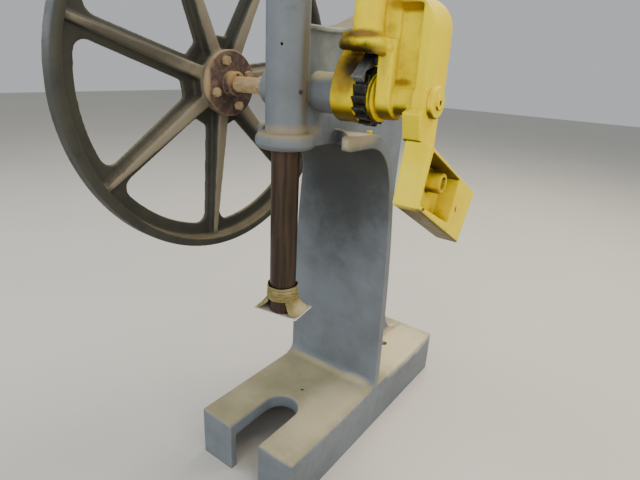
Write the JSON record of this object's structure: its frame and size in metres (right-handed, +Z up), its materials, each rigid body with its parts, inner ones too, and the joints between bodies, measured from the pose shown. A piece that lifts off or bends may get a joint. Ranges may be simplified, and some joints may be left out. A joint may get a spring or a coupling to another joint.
{
  "type": "manual press",
  "caption": "Floor-shop manual press: C-shaped cast frame, racked round ram, spoked handwheel and counterweighted ratchet lever on one pinion shaft.",
  "frame": {"origin": "on the underside of the base, in the middle of its slot, straight below the ram's axis", "axes": "+Z up along the ram; +X toward the ratchet lever; -Y toward the front, where the slot opens"},
  "size_m": [0.47, 0.752, 1.43],
  "materials": {
    "frame_paint": "worn blue-grey enamel, dusty on top",
    "wheel_paint": "old dark paint with tan dust",
    "yellow_paint": "thick yellow enamel with brown grime",
    "yellow_screw": "painted over in yellow",
    "ram_steel": "oiled brown steel",
    "shaft_steel": "tarnished steel",
    "rusty_iron": "dark rusty iron",
    "greased_steel": "black grease",
    "pawl_steel": "bare grey steel",
    "dark_screw": "blackened steel",
    "key_steel": "bright steel",
    "bronze": "oiled bronze",
    "handle_steel": "hand-worn steel",
    "tape": "khaki wrapping tape",
    "plate": "off-white"
  },
  "bodies": {
    "frame": {"frame_casting": "frame_paint", "guide_screw": "dark_screw", "stop_screw": "yellow_screw", "shaft_bush_left": "bronze", "shaft_bush_right": "bronze", "thrust_washer": "key_steel"},
    "spindle": {"pinion_shaft": "shaft_steel", "pinion": "greased_steel", "pinion_key": "key_steel", "flange_key": "key_steel", "ratchet_key": "key_steel", "shaft_collar": "shaft_steel", "shaft_collar_screw": "dark_screw", "hub_flange": "rusty_iron", "hub_set_screw": "dark_screw", "hub_bolts": "rusty_iron", "handwheel": "wheel_paint", "ratchet_wheel": "greased_steel", "spacer_disc": "yellow_paint", "end_washer": "yellow_paint", "end_screw": "dark_screw"},
    "ram": {"ram": "ram_steel", "ram_collar": "ram_steel", "ram_collar_screw": "dark_screw", "nose_plate": "plate", "nose_tape": "tape"},
    "lever": {"lever_yoke": "yellow_paint", "lever_bush_left": "bronze", "lever_bush_right": "bronze", "pawl_pin": "key_steel", "handle_bar": "handle_steel", "handle_screw": "yellow_screw", "counterweight": "yellow_paint", "weight_bolts": "dark_screw"},
    "pawl": {"pawl": "pawl_steel"}
  },
  "joints": [
    {"name": "pinion_spin", "type": "hinge", "parent": "frame", "child": "spindle", "pos_m": [0, 0.047, 0.7286], "axis": [1, 0, 0], "range_deg": [-495, 450]},
    {"name": "ram_slide", "type": "slide", "parent": "frame", "child": "ram", "axis": [0, 0, 1], "range_m": [-0.21992, 0.24191]},
    {"name": "lever_swing", "type": "hinge", "parent": "frame", "child": "lever", "pos_m": [0.15, 0.047, 0.7286], "axis": [1, 0, 0], "range_deg": [-22.5, 90]},
    {"name": "pawl_swing", "type": "hinge", "parent": "lever", "child": "pawl", "pos_m": [0.1326, 0.038, 0.782], "axis": [1, 0, 0], "range_deg": [-5, 12]}
  ],
  "couplings": [
    {"joint": "ram_slide", "follows": "pinion_spin", "m_per_rad": -0.028}
  ]
}
